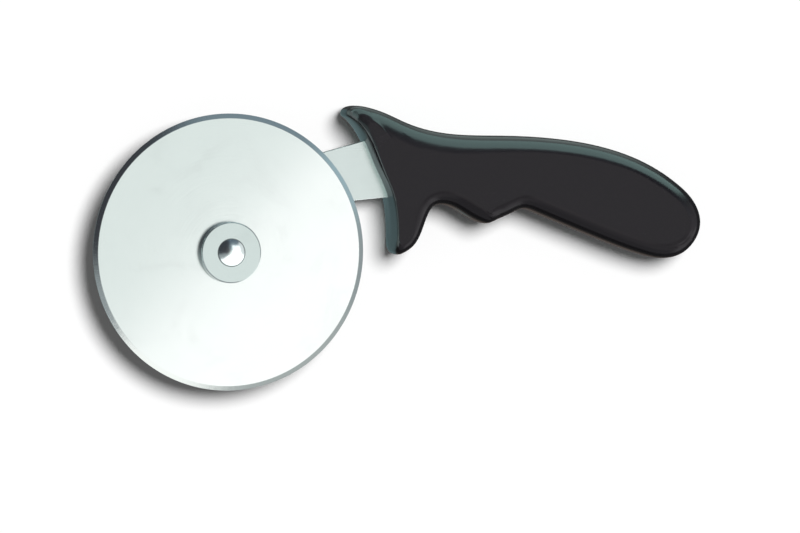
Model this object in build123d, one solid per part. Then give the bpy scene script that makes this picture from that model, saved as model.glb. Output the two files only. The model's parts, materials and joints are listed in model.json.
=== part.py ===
from build123d import *
import math
import os

# Pizza cutter with a 4 inch cutting wheel on one stamped arm and a moulded handle, lying on its back.
# Millimetres. Modelled about the wheel's axle, with X towards the handle's butt, Y towards the guard's
# horn and Z along the axle, out of the face with the rivet's dome. The last step moves every piece so
# that the origin is under the middle of the whole cutter, on the surface that it lies on.

# Cutting wheel
wheel_diameter = 101.6
blade_thickness = 1.2
bevel_width = 1.72
edge_land = 0.1

# Riveted hub, from the dome inwards
dome_diameter = 9.7
dome_height = 1.8
dome_rim = 0.3
stem_diameter = 5.0
boss_diameter = 22.4
boss_thickness = 3.2
boss_edge = 0.4
bush_diameter = 8.0
slip_diameter = 20.4
slip_thickness = 0.4
burr_diameter = 12.0
burr_thickness = 0.9
tail_diameter = 7.8
tail_height = 1.4
running_clearance = 0.05
side_clearance = 0.1
assembly_clearance = 0.05

# Shank: the arm that shows, and the tang inside the handle
shank_thickness = 2.5
shank_end_radius = 12.0
arm_top_y = 43.1
arm_top_slope = 15.1
arm_top_run = 27.0
arm_bottom_y = 19.6
arm_bottom_slope = 4.9
arm_bottom_run = 18.0
arm_top_turn = 28.0
arm_bottom_turn = 40.0
shoulder_depth = 2.2
tang_length = 68.0
tang_width = 13.0
tang_middle_y = 31.4
tang_slope = -4.6
lock_hole_diameter = 6.0
lock_hole_count = 3

# Rigid moulding round the tang
core_width = 18.0
core_thickness = 11.0
core_end_cover = 3.5
core_edge = 2.0

# Handle grip
rim_gap = 12.0
handle_length = 117.9
handle_thickness = 19.0
guard_height = 54.9
toe_drop = 1.6
edge_round = 6.0
front_crown = 0.4
front_ease = 0.6
horn_reach = 17.7
horn_lean = 12.0
horn_inset = 2.5
toe_lean = 4.0

# Places that follow from the sizes
wheel_radius = wheel_diameter / 2
half_thickness = handle_thickness / 2
front_x = wheel_radius + rim_gap
butt_x = front_x + handle_length
horn_top_y = guard_height - toe_drop
shoulder_x = front_x + shoulder_depth
stack_z = shank_thickness / 2
burr_z = -stack_z - burr_thickness
rear_slip_z = stack_z + boss_thickness
blade_z = rear_slip_z + slip_thickness + side_clearance
front_slip_z = blade_z + blade_thickness + side_clearance
front_boss_z = front_slip_z + slip_thickness
dome_z = front_boss_z + boss_thickness
bush_length = front_boss_z - rear_slip_z
hole_diameter = stem_diameter + 2 * assembly_clearance
bore_diameter = bush_diameter + 2 * running_clearance
quarter_turn = 90

# The handle's side view from the guard's toe round the butt to the horn. Each row holds the place as
# shares of the handle's length and of the guard's height, the share of the edge round that the flat
# side is drawn in by, and the share of the toe's or the horn's lean that the point follows.
TOE, HORN = 0, 1
outline_shares = [
    (0.014, -0.002, 0.10, TOE, 1.00),
    (0.032, 0.008, 0.20, TOE, 0.85),
    (0.065, 0.058, 0.50, TOE, 0.50),
    (0.091, 0.151, 0.80, TOE, 0.20),
    (0.112, 0.265, 1.00, TOE, 0.00),
    (0.130, 0.320, 1.00, TOE, 0.00),
    (0.158, 0.334, 1.00, TOE, 0.00),
    (0.193, 0.317, 1.00, TOE, 0.00),
    (0.243, 0.255, 1.00, TOE, 0.00),
    (0.277, 0.217, 0.92, TOE, 0.00),
    (0.305, 0.203, 0.82, TOE, 0.00),
    (0.333, 0.224, 0.92, TOE, 0.00),
    (0.373, 0.260, 1.00, TOE, 0.00),
    (0.420, 0.299, 1.00, TOE, 0.00),
    (0.468, 0.272, 1.00, TOE, 0.00),
    (0.552, 0.197, 1.00, TOE, 0.00),
    (0.684, 0.081, 1.00, TOE, 0.00),
    (0.817, -0.020, 1.00, TOE, 0.00),
    (0.884, -0.046, 1.00, TOE, 0.00),
    (0.947, -0.011, 1.00, TOE, 0.00),
    (0.987, 0.073, 1.00, TOE, 0.00),
    (1.005, 0.192, 1.00, HORN, 0.00),
    (0.994, 0.300, 1.00, HORN, 0.00),
    (0.926, 0.466, 1.00, HORN, 0.00),
    (0.782, 0.645, 1.00, HORN, 0.00),
    (0.584, 0.756, 1.00, HORN, 0.00),
    (0.387, 0.791, 1.05, HORN, 0.00),
    (0.192, 0.807, 1.25, HORN, 0.00),
    (0.126, 0.830, 1.30, HORN, 0.00),
    (0.048, 0.882, 1.30, HORN, 0.15),
    (-0.030, 0.956, 1.15, HORN, 0.50),
    (-0.081, 0.990, 0.85, HORN, 0.80),
    (-0.114, 1.000, 0.50, HORN, 0.95),
    (-0.138, 0.991, 0.20, HORN, 1.04),
    (-0.150, 0.972, 0.10, HORN, 1.04),
    (-0.154, 0.946, 0.05, HORN, 1.02),
]

# The guard's front edge from the toe up, by the same two shares, and the height of its end on the horn
front_shares = [
    (0.001, 0.029),
    (0.001, 0.247),
    (-0.022, 0.468),
    (-0.053, 0.608),
    (-0.091, 0.785),
    (-0.120, 0.854),
]
tip_y_share = 0.927

# How far each of the front edge's points, evenly spaced from the toe up, follows the horn's inset
inset_shares = [0.00, 0.00, 0.00, 0.00, 0.15, 1.00]

# Steps of the edge round from the handle's middle plane to its flat side, the powers that keep its wall
# upright and lay its band down softly to the flat, how late the guard's front edge is eased, and the
# parts that the long edge of each side view is cut into, so that no face runs round the whole handle
round_steps = 7
wall_power = 4
band_power = 0.7
ease_power = 6
rim_parts = 7


def place_on_handle(x_share, y_share):
    """Point of the handle's side view."""
    return Vector(front_x + x_share * handle_length, y_share * guard_height - toe_drop)


def front_edge():
    """The guard's front edge, from the toe up to the horn's tip."""
    tip = Vector(front_x - horn_reach, tip_y_share * guard_height - toe_drop)
    return Spline(*[place_on_handle(*shares) for shares in front_shares], tip)


def along(edge, distance):
    """Point of an edge at this distance from its start."""
    return edge.position_at(distance, position_mode=PositionMode.LENGTH)


def front_line(edge, drawn_share, crown_share):
    """Points of the guard's front at one height: crowned, eased, and inset at the horn."""
    low = toe_lean * drawn_share
    high = edge.length - horn_lean * drawn_share**2
    steps = len(inset_shares) - 1
    points = []
    for step, inset_share in enumerate(inset_shares):
        share = step / steps
        distance = low + (high - low) * share
        tangent = edge.tangent_at(distance, position_mode=PositionMode.LENGTH)
        inward = tangent.rotate(Axis.Z, -quarter_turn)
        bulge = front_crown * crown_share * math.sin(math.pi * share)
        inset = front_ease * drawn_share**ease_power + horn_inset * drawn_share * inset_share
        points.append(along(edge, distance) + inward * (inset - bulge))
    return points


def drawn_outline(height_share):
    """Side view of the handle at this share of the way from its middle plane to its flat side."""
    drawn_share = 1 - (1 - height_share**wall_power) ** band_power
    edge = front_edge()
    front = front_line(edge, drawn_share, 1 - height_share)
    leans = {TOE: front[0] - edge @ 0, HORN: front[-1] - edge @ 1}
    rim = [place_on_handle(*row[:2]) for row in outline_shares]
    ends = [edge @ 0, *rim, edge @ 1]
    inner = []
    for row, before, point, after in zip(outline_shares, ends, rim, ends[2:]):
        round_share, side, lean_share = row[2:]
        inward = (after - before).rotate(Axis.Z, quarter_turn).normalized()
        drawn = edge_round * drawn_share * round_share
        inner.append(point + inward * drawn + leans[side] * lean_share)
    line = Spline(front[0], *inner, front[-1])
    parts = [line.trim(part / rim_parts, (part + 1) / rim_parts) for part in range(rim_parts)]
    return Wire([Spline(*front), *parts])


def grip_blank():
    """Outer shape of the handle: side views stacked along Z in many short steps, which round its edges."""
    layers = []
    for step in range(-round_steps, round_steps + 1):
        height_share = math.sin(math.radians(step * quarter_turn / round_steps))
        layers.append(Pos(0, 0, half_thickness * height_share) * drawn_outline(abs(height_share)))
    return Solid.make_loft(layers, ruled=True)


def arm_edge(level, slope, x):
    """Point of one of the arm's straight edges, from the edge's height where the guard starts."""
    return Vector(x, level + (x - front_x) * math.tan(math.radians(slope)))


def heading(degrees):
    """Unit direction in the side view."""
    return Vector(1, 0).rotate(Axis.Z, degrees)


def on_tang(shape):
    """Move a shape drawn along X to the tang's middle line, which starts at the shank's shoulders."""
    return Pos(shoulder_x, tang_middle_y) * Rot(0, 0, tang_slope) * shape


def tongue(start, end, width, thickness):
    """Bar with round ends along the tang's middle line, centred in the handle's thickness."""
    outline = Pos((start + end) / 2, 0) * SlotCenterToCenter(end - start, width)
    return on_tang(extrude(outline, thickness / 2, both=True))


def core_envelope():
    """Rigid moulding round the tang, still whole where the shank passes through it."""
    far_end = tang_length + tang_width / 2 + core_end_cover
    bar = tongue(core_width / 2, far_end - core_width / 2, core_width, core_thickness)
    faces = bar.faces().sort_by(Axis.Z)
    return fillet(faces[0].edges() + faces[-1].edges(), core_edge)


def shank():
    """Stamped plate: a round end behind the hub, the arched arm, and the tang with its lock holes."""
    top_start = shank_end_radius * heading(quarter_turn + arm_top_turn)
    bottom_end = shank_end_radius * heading(arm_bottom_turn - quarter_turn)
    top_bend = arm_edge(arm_top_y, arm_top_slope, front_x - arm_top_run)
    bottom_bend = arm_edge(arm_bottom_y, arm_bottom_slope, front_x - arm_bottom_run)
    top_shoulder = arm_edge(arm_top_y, arm_top_slope, shoulder_x)
    bottom_shoulder = arm_edge(arm_bottom_y, arm_bottom_slope, shoulder_x)
    outline = [
        Spline(top_start, top_bend, tangents=[heading(arm_top_turn), heading(arm_top_slope)]),
        Polyline(top_bend, top_shoulder, bottom_shoulder, bottom_bend),
        Spline(bottom_bend, bottom_end, tangents=[-heading(arm_bottom_slope), -heading(arm_bottom_turn)]),
        ThreePointArc(bottom_end, Vector(-shank_end_radius, 0), top_start),
    ]
    plate = extrude(make_face(outline), shank_thickness / 2, both=True)
    plate += tongue(0, tang_length, tang_width, shank_thickness)
    spacing = tang_length / lock_hole_count
    lock_hole = Cylinder(lock_hole_diameter / 2, handle_thickness)
    for index in range(lock_hole_count):
        plate -= on_tang(Pos(spacing * (index + 0.5), 0) * lock_hole)
    return plate - Cylinder(hole_diameter / 2, handle_thickness)


def ring(outer, inner, thickness, z):
    """Flat ring round the axle, from this height up."""
    outline = Circle(outer / 2) - Circle(inner / 2)
    return Pos(0, 0, z) * extrude(outline, thickness)


def boss(z):
    """Thick hub washer with both of its outer edges eased."""
    plain = ring(boss_diameter, hole_diameter, boss_thickness, z)
    outer_edges = plain.edges().filter_by(GeomType.CIRCLE).group_by(SortBy.RADIUS)[-1]
    return chamfer(outer_edges, boss_edge)


def turned(profile):
    """Solid of revolution about Z, from a closed profile drawn with X out and Y up."""
    return revolve(Plane.XZ * make_face(profile), Axis.Z)


def blade():
    """Cutting disc, ground from both faces to a thin edge."""
    flat_radius = wheel_radius - bevel_width
    edge_low = (blade_thickness - edge_land) / 2
    profile = Polyline(
        (bore_diameter / 2, 0),
        (flat_radius, 0),
        (wheel_radius, edge_low),
        (wheel_radius, edge_low + edge_land),
        (flat_radius, blade_thickness),
        (bore_diameter / 2, blade_thickness),
        close=True,
    )
    return Pos(0, 0, blade_z) * turned(profile)


def rivet():
    """Rivet with its domed head, its stem and the peened tail."""
    stem_radius = stem_diameter / 2
    dome_radius = dome_diameter / 2
    dome_edge = (dome_radius, dome_z + dome_rim)
    tail_edge = (tail_diameter / 2, burr_z)
    crown = (0, dome_z + dome_height)
    tail_end = (0, burr_z - tail_height)
    profile = [
        TangentArc(crown, dome_edge, tangent=(1, 0)),
        Polyline(dome_edge, (dome_radius, dome_z), (stem_radius, dome_z), (stem_radius, burr_z), tail_edge),
        TangentArc(tail_end, tail_edge, tangent=(1, 0)),
        Line(tail_end, crown),
    ]
    return turned(profile)


def laid_on_back(shape):
    """Move a piece from the axle's frame to that of the whole cutter, which lies on its back."""
    middle_x = (butt_x - wheel_radius) / 2
    middle_y = (horn_top_y - wheel_radius) / 2
    return Pos(-middle_x, -middle_y, half_thickness) * shape


arm_and_tang = shank()
core_blank = core_envelope()
pieces = {
    "blade_wheel": blade(),
    "front_boss": boss(front_boss_z),
    "rear_boss": boss(stack_z),
    "front_slip_washer": ring(slip_diameter, bore_diameter, slip_thickness, front_slip_z),
    "rear_slip_washer": ring(slip_diameter, bore_diameter, slip_thickness, rear_slip_z),
    "bearing_bush": ring(bush_diameter, hole_diameter, bush_length, rear_slip_z),
    "axle_rivet": rivet(),
    "rivet_burr": ring(burr_diameter, hole_diameter, burr_thickness, burr_z),
    "shank": arm_and_tang,
    "handle_core": core_blank - arm_and_tang,
    "handle_grip": grip_blank() - core_blank - arm_and_tang,
}

os.makedirs("parts", exist_ok=True)
for name, piece in pieces.items():
    export_step(laid_on_back(piece), f"parts/{name}.step")
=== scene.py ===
"""Dresses the pizza cutter: turned and stamped steel, moulded grip, white table, studio, camera."""

import json
import math

import bmesh
import bpy
from bpy.props import FloatProperty, FloatVectorProperty, IntProperty, PointerProperty
from mathutils import Matrix, Vector

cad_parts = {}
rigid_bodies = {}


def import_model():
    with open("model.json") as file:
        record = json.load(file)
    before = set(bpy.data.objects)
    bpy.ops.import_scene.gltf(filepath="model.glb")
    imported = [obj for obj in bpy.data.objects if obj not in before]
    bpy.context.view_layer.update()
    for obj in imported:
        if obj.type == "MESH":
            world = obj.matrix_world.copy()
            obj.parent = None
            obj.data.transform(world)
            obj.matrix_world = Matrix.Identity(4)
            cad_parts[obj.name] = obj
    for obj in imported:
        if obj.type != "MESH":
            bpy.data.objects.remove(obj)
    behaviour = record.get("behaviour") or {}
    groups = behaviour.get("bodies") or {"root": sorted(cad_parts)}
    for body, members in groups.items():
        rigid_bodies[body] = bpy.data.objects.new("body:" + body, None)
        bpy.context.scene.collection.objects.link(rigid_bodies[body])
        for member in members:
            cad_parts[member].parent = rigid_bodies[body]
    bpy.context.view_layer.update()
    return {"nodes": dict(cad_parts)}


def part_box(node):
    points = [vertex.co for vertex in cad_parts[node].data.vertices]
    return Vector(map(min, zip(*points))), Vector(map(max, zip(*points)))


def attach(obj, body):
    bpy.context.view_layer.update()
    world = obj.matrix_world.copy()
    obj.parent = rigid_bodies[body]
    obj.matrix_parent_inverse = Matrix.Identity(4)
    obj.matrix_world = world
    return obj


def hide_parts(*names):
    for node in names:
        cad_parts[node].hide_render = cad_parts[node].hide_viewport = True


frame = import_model()

bl_info = {
    "name": "Pizza cutter dressing",
    "version": (1, 0, 0),
    "blender": (4, 5, 0),
    "location": "View3D > Sidebar > Cutter",
    "description": "Builds the looks of a pizza cutter round its CAD frame",
    "category": "Object",
}

MM = 0.001

# Sizes of the hub
STEM_RADIUS = 2.5 * MM
RUNNING_GAP = 0.05 * MM
TAIL_RADIUS = 3.9 * MM
HEAD_RIM = 0.3 * MM
# Radius offset and width of the ring of painted shade beside the rivet's head
SHADE_RING_OFFSET = 0.1 * MM
SHADE_RING_WIDTH = 0.7 * MM

# Limits of the mesh work
WELD_DISTANCE = MM / 1000
FLAT_DEGREES = 0.5
SHARP_DEGREES = 40
GRIP_SHARP_DEGREES = 48
LEVEL_NORMAL = 0.9999
FACES_FIRST = 100

# Depth of the bump that grind lines and mould grain make
BUMP_DEPTH = 0.02 * MM

# Lines to the metre of the shank's rolled grain, along X, Y and Z
ROLLED_GRAIN = (60.0, 5000.0, 5000.0)

HAZE = (0.45, 0.47, 0.46)
SPECK_GREY = (0.25, 0.24, 0.22)
# Colour of the painted shade in the ring beside the rivet's head
PAINTED_RIM_SHADE = (0.05, 0.06, 0.07)
PLASTIC_SPECK = (0.10, 0.10, 0.10)

# The point that the camera looks at, level with the middle of the grip
AIM_X, AIM_Y = 1.37 * MM, -7.48 * MM
CAMERA_REACH = 20

WHITE = (1.0, 1.0, 1.0)
COOL = (0.62, 1.0, 0.91)
ROSE = (1.0, 0.84, 0.88)
TABLE_GREY = (0.86, 0.86, 0.86)
EVEN_LIGHT = (0.13, 0.13, 0.13)
SUN_WAY = (0.18, 0.29, 1.0)
DOWN = (0, 0, -1)

# Each panel: name, finish that it lights, size, middle, way that it faces, radiance, colour
PANELS = (
    ("back_panel", "grip_plastic", (2.4, 1.08), (0.2, 0.9, 0.54), (0, -1, 0), 6.0, COOL),
    ("horn_panel", "grip_plastic", (1.9, 1.3), (-0.9, 0.0, 0.65), (1, 0, 0), 5.0, (0.8, 1.0, 0.94)),
    ("grip_roof", "grip_plastic", (3.0, 2.8), (1.5, -1.1, 1.2), DOWN, 0.36, WHITE),
    ("guard_roof", "grip_plastic", (0.9, 0.75), (-0.55, -0.275, 1.2), DOWN, 1.8, COOL),
    ("horn_roof", "grip_plastic", (0.65, 0.75), (-0.625, 0.475, 1.2), DOWN, 5.0, COOL),
    ("butt_panel", "grip_plastic", (1.0, 1.5), (1.2, 0.0, 0.8), (-1, 0, 0), 0.6, WHITE),
    ("front_panel", "grip_plastic", (2.4, 1.0), (0.2, -1.0, 0.5), (0, 1, 0), 0.35, WHITE),
    ("right_rivet_panel", "rivet_steel", (1.2, 1.0), (1.0, 0.3, 0.7), (-1, 0, 0), 0.5, WHITE),
    ("dip_panel", "grip_plastic", (0.63, 0.9), (0.435, 0.75, 1.3), DOWN, 0.4, WHITE),
    ("shank_panel", "shank_steel", (0.5, 0.5), (-0.36, -0.26, 1.4), DOWN, 0.6, (0.65, 1.0, 1.0)),
    ("shank_front", "shank_steel", (1.2, 1.4), (0.1, -0.9, 0.7), (0, 1, 0), 2.4, WHITE),
)

# Each roof: name, finish, size, point on its edge, turn in degrees, slide, radiance, colour
ROOFS = (
    ("rivet_roof", "rivet_steel", (3.2, 2.8), (0.074, -0.025, 0.6), -25, -1.1, 1.1, WHITE),
    ("rivet_left_roof", "rivet_steel", (2.6, 2.2), (-0.1, -0.168, 0.6), -57.4, -0.65, 1.1, WHITE),
    ("rivet_back_roof", "rivet_steel", (0.68, 0.72), (0.07, 0.0, 0.6), 0, 0.06, 1.1, WHITE),
    ("face_roof", "blade_steel", (0.11, 0.24), (-0.022, -0.006, 0.2), -45, 0, 0.38, ROSE),
)

# What gloss sees. Each patch: way to its middle, degrees where it starts and is full, colour
SKY_GREY = (0.31, 0.345, 0.36)
SKY_PATCHES = (
    ((0.45, -0.52, 0.74), 27, 13, (0.43, 0.46, 0.46)),
    ((0.80, -0.57, 0.10), 32, 16, (1.30, 1.35, 1.35)),
    ((0.20, 0.88, 0.42), 42, 28, (0.11, 0.15, 0.19)),
    ((0.33, 0.45, 0.83), 28, 14, (0.20, 0.26, 0.30)),
    ((0.66, 0.21, 0.72), 12, 4, (0.37, 0.50, 0.56)),
    ((-0.60, 0.50, 0.55), 46, 34, (0.045, 0.05, 0.06)),
    ((-0.04, -0.50, 0.86), 17, 11, (1.10, 1.11, 1.09)),
    ((0.255, -0.15, 0.95), 23, 12, (0.90, 0.96, 0.94)),
    ((-0.27, 0.17, 0.95), 21, 12, (0.045, 0.047, 0.055)),
)
GROUND_GREY = (0.10, 0.11, 0.11)
GROUND_PATCHES = (
    ((0.10, 0.94, -0.25), 48, 20, (1.7, 2.1, 2.0)),
    ((-0.85, 0.25, -0.45), 40, 15, (1.5, 1.9, 1.8)),
    ((-0.93, 0.10, 0.06), 50, 22, (3.0, 4.2, 3.9)),
    ((0.10, -0.35, -0.93), 30, 15, (0.20, 0.17, 0.155)),
    ((-0.15, -0.22, -0.96), 18, 11, (0.28, 0.43, 0.45)),
    ((-0.28, 0.0, -0.96), 25, 14, (0.28, 0.43, 0.45)),
)
HORIZON_HEIGHT, HORIZON_DEPTH = 0.0, -0.06


class CutterSteelSettings(bpy.types.PropertyGroup):
    """Sizes and finish of the wheel, the hub and the shank."""

    ring_segments: IntProperty(
        name="Ring segments", description="Facets round every turned piece", default=256, min=32
    )
    bevel_width: FloatProperty(
        name="Bevel width",
        description="Width of the ground bevel",
        default=1.72 * MM,
        unit="LENGTH",
    )
    ridge_round: FloatProperty(
        name="Ridge round",
        description="Round between face and bevel",
        default=0.9 * MM,
        unit="LENGTH",
    )
    edge_land: FloatProperty(
        name="Edge land",
        description="Flat left on the cutting edge",
        default=0.1 * MM,
        unit="LENGTH",
    )
    boss_chamfer: FloatProperty(
        name="Boss chamfer",
        description="Chamfer of the hub washers' edges",
        default=0.38 * MM,
        unit="LENGTH",
    )
    boss_round: FloatProperty(
        name="Boss round",
        description="Rounding of the chamfer's own edges",
        default=0.07 * MM,
        unit="LENGTH",
    )
    shank_round: FloatProperty(
        name="Shank round",
        description="Tumbled edge of the stamped shank",
        default=0.22 * MM,
        unit="LENGTH",
    )
    face_colour: FloatVectorProperty(
        name="Face colour",
        description="Ground stainless",
        default=(0.885, 0.925, 0.91),
        subtype="COLOR",
    )
    hub_colour: FloatVectorProperty(
        name="Hub colour",
        description="Turned stainless",
        default=(0.83, 0.885, 0.875),
        subtype="COLOR",
    )
    shank_colour: FloatVectorProperty(
        name="Shank colour",
        description="Stamped stainless",
        default=(0.86, 0.90, 0.89),
        subtype="COLOR",
    )


class CutterGripSettings(bpy.types.PropertyGroup):
    """Finish of the moulded grip."""

    grip_colour: FloatVectorProperty(
        name="Grip colour",
        description="Black moulded plastic",
        default=(0.0064, 0.0050, 0.0066),
        subtype="COLOR",
    )
    grip_roughness: FloatProperty(
        name="Grip roughness",
        description="Satin of the moulded surface",
        default=0.20,
        min=0,
        max=1,
    )


class CutterStageSettings(bpy.types.PropertyGroup):
    """Camera, light and table."""

    camera_distance: FloatProperty(
        name="Camera distance",
        description="From the wheel's hub",
        default=2400 * MM,
        unit="LENGTH",
    )
    camera_tilt: FloatProperty(
        name="Camera tilt",
        description="Away from straight above",
        default=math.radians(13.5),
        unit="ROTATION",
    )
    camera_turn: FloatProperty(
        name="Camera turn",
        description="Side that the camera stands on",
        default=math.radians(169.75),
        unit="ROTATION",
    )
    lens: FloatProperty(name="Lens", description="Focal length in millimetres", default=294.77)
    sun_strength: FloatProperty(
        name="Sun strength", description="Strength of the lamp that makes the shadow", default=2.95
    )
    sun_spread: FloatProperty(
        name="Sun spread",
        description="Angle that the sun lamp spans, which softens the shadow",
        default=math.radians(28),
        unit="ROTATION",
    )
    table_width: FloatProperty(
        name="Table width", description="Side of the table", default=8.0, unit="LENGTH"
    )


def steel_settings():
    return bpy.context.scene.cutter_steel


def grip_settings():
    return bpy.context.scene.cutter_grip


def stage_settings():
    return bpy.context.scene.cutter_stage


def middle(node):
    """Middle of a CAD node's box."""
    low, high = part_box(node)
    return (low + high) / 2


def node_radius(node):
    """Radius of a turned CAD node."""
    low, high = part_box(node)
    return (high.x - low.x) / 2


AXLE = middle("blade_wheel")


class Nodes:
    """A node tree that is built one node at a time."""

    def __init__(self, tree):
        self.tree = tree
        tree.nodes.clear()

    def add(self, kind, inputs=None, **settings):
        """Adds a node. inputs holds a value or a socket for each input's name or number."""
        node = self.tree.nodes.new(kind)
        for key, value in settings.items():
            setattr(node, key, value)
        for key, value in (inputs or {}).items():
            if isinstance(value, bpy.types.NodeSocket):
                self.tree.links.new(value, node.inputs[key])
            else:
                node.inputs[key].default_value = value
        return node

    def math(self, operation, first, second=0.0, clamp=False):
        """Result of a Math node."""
        inputs = {0: first, 1: second}
        return self.add("ShaderNodeMath", inputs, operation=operation, use_clamp=clamp).outputs[0]

    def spread(self, value, low, high, to_low=0.0, to_high=1.0):
        """A value mapped smoothly from one range to another."""
        inputs = {"Value": value, "From Min": low, "From Max": high}
        inputs.update({"To Min": to_low, "To Max": to_high})
        node = self.add("ShaderNodeMapRange", inputs, interpolation_type="SMOOTHSTEP")
        return node.outputs["Result"]

    def mix(self, factor, first, second):
        """Colour between two colours."""
        inputs = {0: factor, 6: first, 7: second}
        for index in (6, 7):
            if not isinstance(inputs[index], bpy.types.NodeSocket):
                inputs[index] = (*inputs[index][:3], 1)
        return self.add("ShaderNodeMix", inputs, data_type="RGBA").outputs[2]

    def noise(self, place, scale, detail, roughness, distortion=0.0):
        """Value of a noise texture."""
        inputs = {"Vector": place, "Scale": scale, "Detail": detail, "Roughness": roughness}
        inputs["Distortion"] = distortion
        return self.add("ShaderNodeTexNoise", inputs).outputs["Fac"]

    def place(self):
        """Place on the piece, in metres."""
        return self.add("ShaderNodeTexCoord").outputs["Object"]

    def link(self, output, node, name):
        """Links an output to a node's named input."""
        self.tree.links.new(output, node.inputs[name])


FLOAT, VECTOR = "NodeSocketFloat", "NodeSocketVector"


def node_group(name, inputs, outputs):
    """An empty shader node group with named sockets, and its input and output nodes."""
    tree = bpy.data.node_groups.new(name, "ShaderNodeTree")
    nodes = Nodes(tree)
    for label, kind, default in inputs:
        socket = tree.interface.new_socket(name=label, in_out="INPUT", socket_type=kind)
        if default is not None:
            socket.default_value = default
    for label, kind in outputs:
        tree.interface.new_socket(name=label, in_out="OUTPUT", socket_type=kind)
    return nodes, nodes.add("NodeGroupInput"), nodes.add("NodeGroupOutput")


def grind_group():
    """Fine parallel scratches along the first axis of the vector that comes in."""
    inputs = [("Vector", VECTOR, None), ("Depth", FLOAT, 1.0)]
    nodes, start, end = node_group("grind_lines", inputs, [("Height", FLOAT), ("Tone", FLOAT)])
    lines = start.outputs["Vector"]
    fine = nodes.noise(lines, scale=1.0, detail=3.0, roughness=0.6)
    wide = nodes.noise(lines, scale=0.17, detail=2.0, roughness=0.5)
    average = nodes.math("MULTIPLY", nodes.math("ADD", fine, wide), 0.5)
    tone = nodes.math("SUBTRACT", average, 0.5)
    nodes.link(nodes.math("MULTIPLY", tone, start.outputs["Depth"]), end, "Height")
    nodes.link(tone, end, "Tone")
    return nodes.tree


def handling_group():
    """Faint smears and a few fine specks that years of wiping leave."""
    inputs = [("Size", FLOAT, 60.0), ("Specks", FLOAT, 900.0)]
    nodes, start, end = node_group("handling", inputs, [("Smear", FLOAT), ("Speck", FLOAT)])
    place = nodes.place()
    size = start.outputs["Size"]
    cloud = nodes.noise(place, scale=size, detail=4.0, roughness=0.55, distortion=0.6)
    nodes.link(nodes.math("SUBTRACT", cloud, 0.5), end, "Smear")
    grid = {"Vector": place, "Scale": start.outputs["Specks"], "Randomness": 1.0}
    cells = nodes.add("ShaderNodeTexVoronoi", grid).outputs
    near_middle = nodes.spread(cells["Distance"], low=0.10, high=0.05)
    chosen_cell = nodes.spread(cells["Color"], low=0.93, high=0.95)
    nodes.link(nodes.math("MULTIPLY", near_middle, chosen_cell), end, "Speck")
    return nodes.tree


def wear_group():
    """Mask of the outer edges, which rubbing brightens."""
    inputs = [("Start", FLOAT, 0.52), ("Full", FLOAT, 0.60)]
    nodes, start, end = node_group("edge_wear", inputs, [("Edge", FLOAT)])
    bend = nodes.add("ShaderNodeNewGeometry").outputs["Pointiness"]
    nodes.link(nodes.spread(bend, start.outputs["Start"], start.outputs["Full"]), end, "Edge")
    return nodes.tree


GROUPS = {"grind": grind_group(), "handling": handling_group(), "wear": wear_group()}


def placed(nodes, name, inputs=None):
    """Outputs of one of the shared groups, placed in a material."""
    return nodes.add("ShaderNodeGroup", inputs, node_tree=GROUPS[name]).outputs


def material(name):
    """A new material with its node tree emptied."""
    made = bpy.data.materials.new(name)
    made.use_nodes = True
    return made, Nodes(made.node_tree)


def finished(nodes, colour, roughness, height=None, bump=1.0, **constants):
    """Principled shader and output. constants go on the shader's own sockets."""
    inputs = {"Base Color": colour, "Roughness": roughness}
    if height is not None:
        relief = {"Height": height, "Strength": bump, "Distance": BUMP_DEPTH}
        inputs["Normal"] = nodes.add("ShaderNodeBump", relief).outputs["Normal"]
    shader = nodes.add("ShaderNodeBsdfPrincipled", inputs)
    for key, value in constants.items():
        shader.inputs[key.replace("_", " ")].default_value = value
    nodes.add("ShaderNodeOutputMaterial", {"Surface": shader.outputs[0]})


def round_axle(nodes, along, across):
    """Coordinates round the axle: the way round times along, and the radius times across."""
    from_axle = {0: nodes.place(), 1: tuple(-AXLE)}
    centred = nodes.add("ShaderNodeVectorMath", from_axle, operation="ADD").outputs[0]
    split = nodes.add("ShaderNodeSeparateXYZ", {0: centred}).outputs
    way = nodes.math("ARCTAN2", split["Y"], split["X"])
    flat = nodes.add("ShaderNodeCombineXYZ", {"X": split["X"], "Y": split["Y"]}).outputs[0]
    length = nodes.add("ShaderNodeVectorMath", {0: flat}, operation="LENGTH")
    lines = {
        "X": nodes.math("MULTIPLY", way, along),
        "Y": nodes.math("MULTIPLY", length.outputs["Value"], across),
        "Z": nodes.math("MULTIPLY", split["Z"], across),
    }
    return nodes.add("ShaderNodeCombineXYZ", lines).outputs[0]


def turned_lines(along, across):
    """Maker of the coordinates of grind lines that run round the axle."""
    return lambda nodes: round_axle(nodes, along, across)


def rolled_lines(nodes):
    """Coordinates of the rolled grain that runs along the shank."""
    stretch = {0: nodes.place(), 1: ROLLED_GRAIN}
    return nodes.add("ShaderNodeVectorMath", stretch, operation="MULTIPLY").outputs[0]


def painted_rim_shade_mask(nodes, radius, width):
    """Mask of a thin ring round the axle beside a rim, where a painted shade darkens the steel as a
    contact shadow would.
    """
    ring = nodes.add("ShaderNodeSeparateXYZ", {0: round_axle(nodes, 1.0, 1.0)}).outputs["Y"]
    off = nodes.math("ABSOLUTE", nodes.math("SUBTRACT", ring, radius))
    return nodes.spread(off, width / 2, width / 4)


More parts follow.
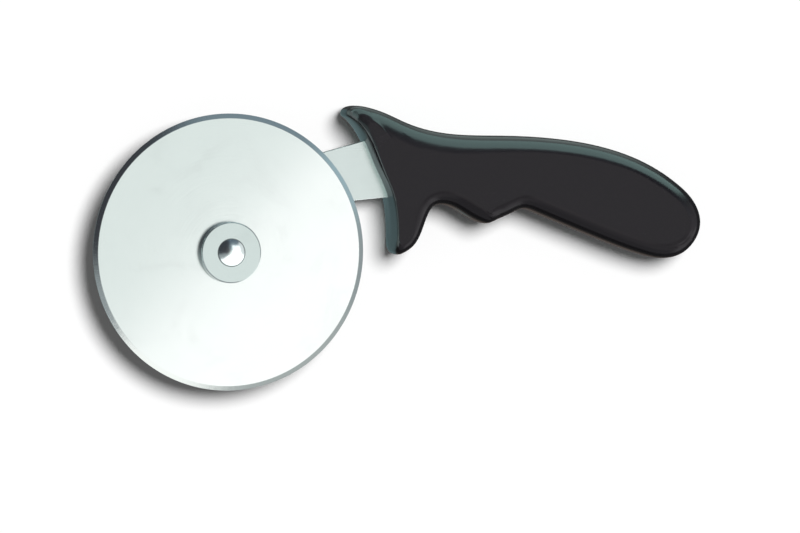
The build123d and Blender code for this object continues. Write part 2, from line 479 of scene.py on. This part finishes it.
def ground_steel(name, colour, roughness, lines, depth=1.0, shade_ring=None):
    """Stainless steel with grind lines, smears, specks and a ring of painted shade beside a rim,
    given by its radius and width.
    """
    line_shade, line_contrast, line_roughness = 0.9, 0.6, 0.08
    haze_strength, speck_strength, rim_shade_strength = 0.06, 0.5, 0.8
    smear_roughness = 0.05
    made, nodes = material(name)
    grind = placed(nodes, "grind", {"Vector": lines(nodes), "Depth": depth})
    touched = placed(nodes, "handling")
    darker = [share * line_shade for share in colour]
    contrast = nodes.math("MULTIPLY", grind["Tone"], line_contrast)
    shade = nodes.mix(nodes.math("ADD", contrast, 0.5), darker, colour)
    haze = nodes.spread(touched["Smear"], low=0.02, high=0.22, to_high=haze_strength)
    shade = nodes.mix(haze, shade, HAZE)
    speck = nodes.math("MULTIPLY", touched["Speck"], speck_strength)
    shade = nodes.mix(speck, shade, SPECK_GREY)
    # Painted shade: a dark ring beside the rivet head's rim, where its contact shadow falls
    if shade_ring:
        rim_shade = nodes.math("MULTIPLY", painted_rim_shade_mask(nodes, *shade_ring), rim_shade_strength)
        shade = nodes.mix(rim_shade, shade, PAINTED_RIM_SHADE)
    smeared = nodes.math("MULTIPLY", touched["Smear"], smear_roughness)
    rough = nodes.math("ADD", smeared, roughness)
    lined = nodes.math("MULTIPLY", grind["Tone"], line_roughness)
    rough = nodes.math("ADD", rough, lined)
    finished(nodes, shade, rough, grind["Height"], Metallic=1.0)
    return made


def grip_material():
    """Black satin plastic with the fine grain of a spark-finished mould."""
    wear_strength, worn_gain = 0.5, 1.5
    speck_strength, smear_roughness = 0.25, 0.12
    gloss_tint = (1.0, 0.95, 1.0, 1.0)
    made, nodes = material("grip_plastic")
    settings = grip_settings()
    grain = nodes.noise(nodes.place(), scale=5200.0, detail=2.0, roughness=0.6)
    touched = placed(nodes, "handling", {"Size": 45.0, "Specks": 700.0})
    wear = nodes.math("MULTIPLY", placed(nodes, "wear")["Edge"], wear_strength)
    worn = [share * worn_gain for share in settings.grip_colour]
    shade = nodes.mix(wear, settings.grip_colour, worn)
    speck = nodes.math("MULTIPLY", touched["Speck"], speck_strength)
    shade = nodes.mix(speck, shade, PLASTIC_SPECK)
    smeared = nodes.math("MULTIPLY", touched["Smear"], smear_roughness)
    rough = nodes.math("ADD", smeared, settings.grip_roughness)
    finished(nodes, shade, rough, grain, bump=0.25, IOR=1.31, Specular_Tint=gloss_tint)
    return made


def plain_plastic(name, colour, roughness):
    """Natural moulded plastic of the hidden washers and of the core."""
    cloud_shade, smear_roughness = 0.8, 0.1
    made, nodes = material(name)
    smear = placed(nodes, "handling", {"Size": 200.0})["Smear"]
    darker = [share * cloud_shade for share in colour]
    shade = nodes.mix(nodes.math("ADD", smear, 0.5), darker, colour)
    smeared = nodes.math("MULTIPLY", smear, smear_roughness)
    finished(nodes, shade, nodes.math("ADD", smeared, roughness), smear, bump=0.2)
    return made


def new_object(name, data):
    """Object of a mesh, lamp or camera, in the scene."""
    made = bpy.data.objects.new(name, data)
    bpy.context.scene.collection.objects.link(made)
    return made


def smooth(mesh, degrees=30):
    """Smooth shading that keeps the edges sharper than this angle."""
    mesh.shade_smooth()
    mesh.set_sharp_from_angle(angle=math.radians(degrees))


def flat_faced(name, mesh):
    """Object whose large flat faces keep their own normals right up to the rounded edges."""
    piece = new_object(name, mesh)
    evened = piece.modifiers.new("flat_faces_stay_flat", "WEIGHTED_NORMAL")
    evened.keep_sharp = True
    evened.weight = FACES_FIRST
    return piece


def round_corner(before, corner, after, radius, steps=4):
    """Points of a round of this radius between two straight runs."""
    before, corner, after = Vector(before), Vector(corner), Vector(after)
    way_in = (before - corner).normalized()
    way_out = (after - corner).normalized()
    half = way_in.angle(way_out) / 2
    reach = radius / math.tan(half)
    centre = corner + (way_in + way_out).normalized() * (radius / math.sin(half))
    start = corner + way_in * reach - centre
    end = corner + way_out * reach - centre
    turn = start.angle(end)
    points = []
    for step in range(steps + 1):
        share = step / steps
        blend = math.sin((1 - share) * turn) * start + math.sin(share * turn) * end
        points.append(centre + blend / math.sin(turn))
    return points


def eased_ring(outer, inner, thickness, chamfer, corner):
    """Profile of a washer whose outer edges are chamfered, each chamfer's own edges rounded."""
    turns = [
        (inner, 0),
        (outer - chamfer, 0),
        (outer, chamfer),
        (outer, thickness - chamfer),
        (outer - chamfer, thickness),
        (inner, thickness),
    ]
    points = [turns[0]]
    for before, turn, after in zip(turns, turns[1:], turns[2:]):
        points.extend(round_corner(before, turn, after, corner, steps=2))
    return [*points, turns[-1]]


def dome(radius, rim, height, steps=24):
    """Points of a spherical cap from its rim up to its crown, standing on a short straight rim."""
    ball = (radius**2 + (height - rim) ** 2) / (2 * (height - rim))
    top_angle = math.asin(radius / ball)
    points = [(radius, 0)]
    for step in range(steps + 1):
        angle = top_angle * (1 - step / steps)
        points.append((ball * math.sin(angle), height - ball * (1 - math.cos(angle))))
    return points


def turned(name, profile, base_z, materials, material_of=None):
    """Piece turned about the axle. profile holds closed (radius, height) points above base_z."""
    segments = steel_settings().ring_segments
    mesh = bpy.data.meshes.new(name)
    verts, faces = [], []
    for segment in range(segments):
        angle = math.tau * segment / segments
        across = Vector((math.cos(angle), math.sin(angle), 0))
        for radius, height in profile:
            verts.append(Vector((AXLE.x, AXLE.y, base_z + height)) + across * radius)
    count = len(profile)
    for segment in range(segments):
        here, there = segment * count, (segment + 1) % segments * count
        for index in range(count):
            follow = (index + 1) % count
            faces.append((here + index, there + index, there + follow, here + follow))
    mesh.from_pydata(verts, [], faces)
    for made in materials:
        mesh.materials.append(made)
    if material_of:
        for index, face in enumerate(mesh.polygons):
            face.material_index = material_of[index % count]
    welded = bmesh.new()
    welded.from_mesh(mesh)
    bmesh.ops.remove_doubles(welded, verts=welded.verts, dist=WELD_DISTANCE)
    bmesh.ops.recalc_face_normals(welded, faces=welded.faces)
    welded.to_mesh(mesh)
    welded.free()
    smooth(mesh)
    return flat_faced(name, mesh)


def node_shape(node):
    """Editable copy of a CAD node's mesh, with its doubled corners welded."""
    shape = bmesh.new()
    shape.from_mesh(frame["nodes"][node].data)
    bmesh.ops.remove_doubles(shape, verts=shape.verts, dist=WELD_DISTANCE)
    return shape


def shape_mesh(shape, name, made):
    """Mesh of an edited shape, with one material."""
    mesh = bpy.data.meshes.new(name)
    shape.to_mesh(mesh)
    shape.free()
    mesh.materials.clear()
    mesh.materials.append(made)
    return mesh


def eased_copy(node, name, width, made, steps=3):
    """Copy of a CAD node with its sharp edges rounded."""
    shape = node_shape(node)
    bmesh.ops.dissolve_limit(
        shape,
        angle_limit=math.radians(FLAT_DEGREES),
        verts=shape.verts,
        edges=shape.edges,
        delimit={"NORMAL"},
    )
    sharpest = math.radians(SHARP_DEGREES)
    sharp = [edge for edge in shape.edges if edge.calc_face_angle(0) > sharpest]
    bmesh.ops.bevel(
        shape,
        geom=sharp,
        offset=width,
        offset_type="OFFSET",
        segments=steps,
        profile=0.5,
        affect="EDGES",
        clamp_overlap=True,
    )
    mesh = shape_mesh(shape, name, made)
    smooth(mesh)
    return flat_faced(name, mesh)


def moulded_copy(node, name, made, sharp_degrees):
    """Copy of a CAD node that is smooth up to the borders of its flat sides, which stay flat."""
    mesh = shape_mesh(node_shape(node), name, made)
    if "custom_normal" in mesh.attributes:
        mesh.attributes.remove(mesh.attributes["custom_normal"])
    smooth(mesh, sharp_degrees)
    level = {}
    for face in mesh.polygons:
        if abs(face.normal.z) > LEVEL_NORMAL:
            level.update({vertex: face.normal.copy() for vertex in face.vertices})
    normals = [corner.vector.copy() for corner in mesh.corner_normals]
    softest = math.cos(math.radians(sharp_degrees))
    for loop in mesh.loops:
        flat = level.get(loop.vertex_index)
        if flat and normals[loop.index].dot(flat) > softest:
            normals[loop.index] = flat
    mesh.normals_split_custom_set(normals)
    return new_object(name, mesh)


def dressed(piece, body, slot, *nodes):
    """Attaches a piece to its body, hides the CAD nodes that it stands for, and records the name of
    its finish.
    """
    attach(piece, body)
    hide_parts(*nodes)
    piece["finish"] = slot


def refinished(node, made):
    """Gives a CAD node that keeps its own shape a better material."""
    frame["nodes"][node].material_slots[0].material = made


class CUTTER_OT_cutting_wheel(bpy.types.Operator):
    """Turn the cutting wheel with its ground bevel"""

    bl_idname = "cutter.cutting_wheel"
    bl_label = "Cutting wheel"

    def execute(self, context):
        settings = steel_settings()
        low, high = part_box("blade_wheel")
        thickness = high.z - low.z
        rim = node_radius("blade_wheel")
        bush_radius = max(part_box("bearing_bush")[1] - middle("bearing_bush"))
        bore = bush_radius + RUNNING_GAP
        flat = rim - settings.bevel_width
        under = (thickness - settings.edge_land) / 2
        over = thickness - under
        rounding = settings.ridge_round
        bottom_ridge = round_corner((bore, 0), (flat, 0), (rim, under), rounding)
        top_ridge = round_corner((rim, over), (flat, thickness), (bore, thickness), rounding)
        bottom = [(bore, 0), *bottom_ridge, (rim, under)]
        top = [(rim, over), *top_ridge, (bore, thickness)]
        face, bevel = 0, 1
        ridge = [face] * (len(top_ridge) - 1)
        finishes = [face, *ridge, bevel, bevel, bevel, *ridge, face, face]
        colour = settings.face_colour
        round_lines = turned_lines(along=3.0, across=9000.0)
        face_steel = ground_steel("blade_face", colour, roughness=0.22, lines=round_lines)
        cross_lines = turned_lines(along=900.0, across=400.0)
        bevel_steel = ground_steel("blade_bevel", colour, roughness=0.11, lines=cross_lines)
        materials = [face_steel, bevel_steel]
        piece = turned("cutting_wheel", [*bottom, *top], low.z, materials, finishes)
        dressed(piece, "wheel", "blade_steel", "blade_wheel")
        return {"FINISHED"}


class CUTTER_OT_hub(bpy.types.Operator):
    """Turn the riveted hub: both bosses, the rivet, its burr, and the parts between them"""

    bl_idname = "cutter.hub"
    bl_label = "Riveted hub"

    def execute(self, context):
        settings = steel_settings()
        colour = settings.hub_colour
        head_radius = node_radius("axle_rivet")
        # Ring of painted shade round the rivet's head on the hub's steel
        shade_ring = (head_radius + SHADE_RING_OFFSET, SHADE_RING_WIDTH)
        lines = turned_lines(along=2.0, across=7000.0)
        hub_steel = ground_steel("hub_steel", colour, roughness=0.24, lines=lines, shade_ring=shade_ring)
        lines = turned_lines(along=4.0, across=2500.0)
        polished = ground_steel("rivet_steel", colour, roughness=0.21, lines=lines, depth=0.3)
        hole = STEM_RADIUS + RUNNING_GAP
        for node in ("front_boss", "rear_boss", "rivet_burr"):
            low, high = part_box(node)
            thickness = high.z - low.z
            chamfer = min(settings.boss_chamfer, thickness / 4)
            outer = node_radius(node)
            profile = eased_ring(outer, hole, thickness, chamfer, settings.boss_round)
            piece = turned(f"{node}_turned", profile, low.z, [hub_steel])
            dressed(piece, "handle", "hub_steel", node)
        low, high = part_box("axle_rivet")
        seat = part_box("front_boss")[1].z
        to_seat = seat - low.z
        to_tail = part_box("rivet_burr")[0].z - low.z
        tail_dome = dome(TAIL_RADIUS, 0, to_tail)
        head_dome = dome(head_radius, HEAD_RIM, high.z - seat)
        tail = [(radius, to_tail - height) for radius, height in reversed(tail_dome)]
        head = [(radius, to_seat + height) for radius, height in head_dome]
        profile = [*tail, (STEM_RADIUS, to_tail), (STEM_RADIUS, to_seat), *head]
        piece = turned("axle_rivet_turned", profile, low.z, [polished])
        dressed(piece, "handle", "rivet_steel", "axle_rivet")
        washer = plain_plastic("washer_plastic", colour=(0.72, 0.72, 0.68), roughness=0.45)
        refinished("front_slip_washer", washer)
        refinished("rear_slip_washer", washer)
        brass = (0.72, 0.52, 0.28)
        lines = turned_lines(along=2.0, across=5000.0)
        bush = ground_steel("bush_metal", brass, roughness=0.3, lines=lines)
        refinished("bearing_bush", bush)
        return {"FINISHED"}


class CUTTER_OT_shank(bpy.types.Operator):
    """Ease the edges of the stamped shank and give it its rolled grain"""

    bl_idname = "cutter.shank"
    bl_label = "Shank"

    def execute(self, context):
        settings = steel_settings()
        colour = settings.shank_colour
        shank_steel = ground_steel("shank_steel", colour, roughness=0.26, lines=rolled_lines)
        piece = eased_copy("shank", "shank_stamped", settings.shank_round, shank_steel)
        dressed(piece, "handle", "shank_steel", "shank")
        return {"FINISHED"}


class CUTTER_OT_grip(bpy.types.Operator):
    """Finish the moulded grip and the core inside it"""

    bl_idname = "cutter.grip"
    bl_label = "Moulded grip"

    def execute(self, context):
        piece = moulded_copy("handle_grip", "grip_moulded", grip_material(), GRIP_SHARP_DEGREES)
        dressed(piece, "handle", "grip_plastic", "handle_grip")
        core = plain_plastic("core_plastic", colour=(0.12, 0.12, 0.12), roughness=0.5)
        refinished("handle_core", core)
        return {"FINISHED"}


def camera_place():
    """Where the camera stands, from its distance, tilt and turn about the hub."""
    settings = stage_settings()
    tilt, turn = settings.camera_tilt, settings.camera_turn
    out = math.sin(tilt)
    way = Vector((out * math.cos(turn), out * math.sin(turn), math.cos(tilt)))
    return AXLE + way * settings.camera_distance


def add_camera():
    """The camera at the photograph's viewing angle, with +Y up in the picture."""
    data = bpy.data.cameras.new("camera")
    data.lens = stage_settings().lens
    data.clip_end = CAMERA_REACH
    camera = new_object("camera", data)
    place = camera_place()
    aim = Vector((AIM_X, AIM_Y, middle("handle_grip").z))
    forward = (aim - place).normalized()
    right = forward.cross(Vector((0, 1, 0))).normalized()
    up = right.cross(forward)
    turn = Matrix((right, up, -forward)).transposed().to_4x4()
    camera.matrix_world = Matrix.Translation(place) @ turn
    bpy.context.scene.camera = camera


def add_table():
    """White table that stays white to the camera and keeps the cutter's shadow."""
    made, nodes = material("table_white")
    sight = nodes.add("ShaderNodeLightPath").outputs["Is Camera Ray"]
    colour = nodes.mix(sight, TABLE_GREY, WHITE)
    finished(nodes, colour, 0.9, Specular_IOR_Level=0.0)
    half = stage_settings().table_width / 2
    mesh = bpy.data.meshes.new("table")
    corners = [(-half, -half, 0), (half, -half, 0), (half, half, 0), (-half, half, 0)]
    mesh.from_pydata(corners, [], [(0, 1, 2, 3)])
    mesh.materials.append(made)
    table = new_object("table", mesh)
    table.visible_glossy = False


def add_sun():
    """Broad soft sun from the upper right. It makes the shadow, and the gloss doesn't see it."""
    settings = stage_settings()
    data = bpy.data.lights.new("key", "SUN")
    data.energy = settings.sun_strength
    data.angle = settings.sun_spread
    sun = new_object("key", data)
    sun.rotation_mode = "QUATERNION"
    sun.rotation_quaternion = Vector(SUN_WAY).to_track_quat("Z", "Y")
    sun.visible_glossy = False
    sun.visible_camera = False


def add_panel(name, finish, size, place, facing, radiance, colour):
    """Flat panel light that only the gloss of the pieces with one finish sees."""
    data = bpy.data.lights.new(name, "AREA")
    data.shape = "RECTANGLE"
    data.size, data.size_y = size
    data.color = colour
    data.energy = radiance * math.pi * data.size * data.size_y
    panel = new_object(name, data)
    panel.rotation_mode = "QUATERNION"
    panel.rotation_quaternion = (-Vector(facing)).to_track_quat("Z", "Y")
    panel.location = place
    panel.visible_camera = False
    panel.visible_diffuse = False
    panel.visible_transmission = False
    lit = bpy.data.collections.new(f"{name}_lights")
    for piece in bpy.context.scene.objects:
        if piece.get("finish") == finish:
            lit.objects.link(piece)
    panel.light_linking.receiver_collection = lit
    return panel


def add_roof(name, finish, size, edge, turn, slide, radiance, colour):
    """Level panel that reaches from its edge along a way turned from +X, slid along that edge."""
    angle = math.radians(turn)
    to_middle = Matrix.Rotation(angle, 3, "Z") @ Vector((size[0] / 2, slide, 0))
    panel = add_panel(name, finish, size, Vector(edge) + to_middle, DOWN, radiance, colour)
    panel.rotation_mode = "XYZ"
    panel.rotation_euler = (0, 0, angle)


def with_patches(nodes, way, colour, patches):
    """A colour with round patches of other colours, each seen along a way and soft at its rim."""
    for direction, outer, inner, patch_colour in patches:
        dot = {0: way, 1: tuple(Vector(direction).normalized())}
        near = nodes.add("ShaderNodeVectorMath", dot, operation="DOT_PRODUCT").outputs["Value"]
        start, full = math.cos(math.radians(outer)), math.cos(math.radians(inner))
        colour = nodes.mix(nodes.spread(near, start, full), colour, patch_colour)
    return colour


def add_world():
    """White to the camera, a studio of grey flags and bright windows to gloss, dim to the rest."""
    world = bpy.data.worlds.new("studio")
    world.use_nodes = True
    bpy.context.scene.world = world
    nodes = Nodes(world.node_tree)
    way = nodes.add("ShaderNodeTexCoord").outputs["Generated"]
    sky = with_patches(nodes, way, SKY_GREY, SKY_PATCHES)
    ground = with_patches(nodes, way, GROUND_GREY, GROUND_PATCHES)
    height = nodes.add("ShaderNodeSeparateXYZ", {0: way}).outputs["Z"]
    studio = nodes.mix(nodes.spread(height, HORIZON_HEIGHT, HORIZON_DEPTH), sky, ground)
    rays = nodes.add("ShaderNodeLightPath").outputs
    gloss = nodes.math("MAXIMUM", rays["Is Glossy Ray"], rays["Is Transmission Ray"])
    gloss = nodes.math("SUBTRACT", gloss, rays["Diffuse Depth"], clamp=True)
    seen = nodes.mix(gloss, EVEN_LIGHT, studio)
    shown = nodes.mix(rays["Is Camera Ray"], seen, WHITE)
    light = nodes.add("ShaderNodeBackground", {"Color": shown, "Strength": 1.0})
    nodes.add("ShaderNodeOutputWorld", {"Surface": light.outputs[0]})


class CUTTER_OT_stage(bpy.types.Operator):
    """Set up the camera, the table and the studio light"""

    bl_idname = "cutter.stage"
    bl_label = "Stage"

    def execute(self, context):
        context.scene.view_settings.view_transform = "Standard"
        add_camera()
        add_table()
        add_sun()
        for panel in PANELS:
            add_panel(*panel)
        for roof in ROOFS:
            add_roof(*roof)
        add_world()
        return {"FINISHED"}


STEPS = (
    CUTTER_OT_cutting_wheel,
    CUTTER_OT_hub,
    CUTTER_OT_shank,
    CUTTER_OT_grip,
    CUTTER_OT_stage,
)
SETTINGS = {
    "cutter_steel": CutterSteelSettings,
    "cutter_grip": CutterGripSettings,
    "cutter_stage": CutterStageSettings,
}


class CUTTER_PT_panel(bpy.types.Panel):
    """Lists the steps that dress the cutter"""

    bl_label = "Cutter"
    bl_idname = "CUTTER_PT_panel"
    bl_space_type = "VIEW_3D"
    bl_region_type = "UI"
    bl_category = "Cutter"

    def draw(self, context):
        for step in STEPS:
            self.layout.operator(step.bl_idname)


CLASSES = (*SETTINGS.values(), *STEPS, CUTTER_PT_panel)


def register():
    for made in CLASSES:
        bpy.utils.register_class(made)
    for name, group in SETTINGS.items():
        setattr(bpy.types.Scene, name, PointerProperty(type=group))


def unregister():
    for name in SETTINGS:
        delattr(bpy.types.Scene, name)
    for made in reversed(CLASSES):
        bpy.utils.unregister_class(made)


def main():
    register()
    bpy.ops.cutter.cutting_wheel()
    bpy.ops.cutter.hub()
    bpy.ops.cutter.shank()
    bpy.ops.cutter.grip()
    bpy.ops.cutter.stage()


if __name__ == "__main__":
    main()
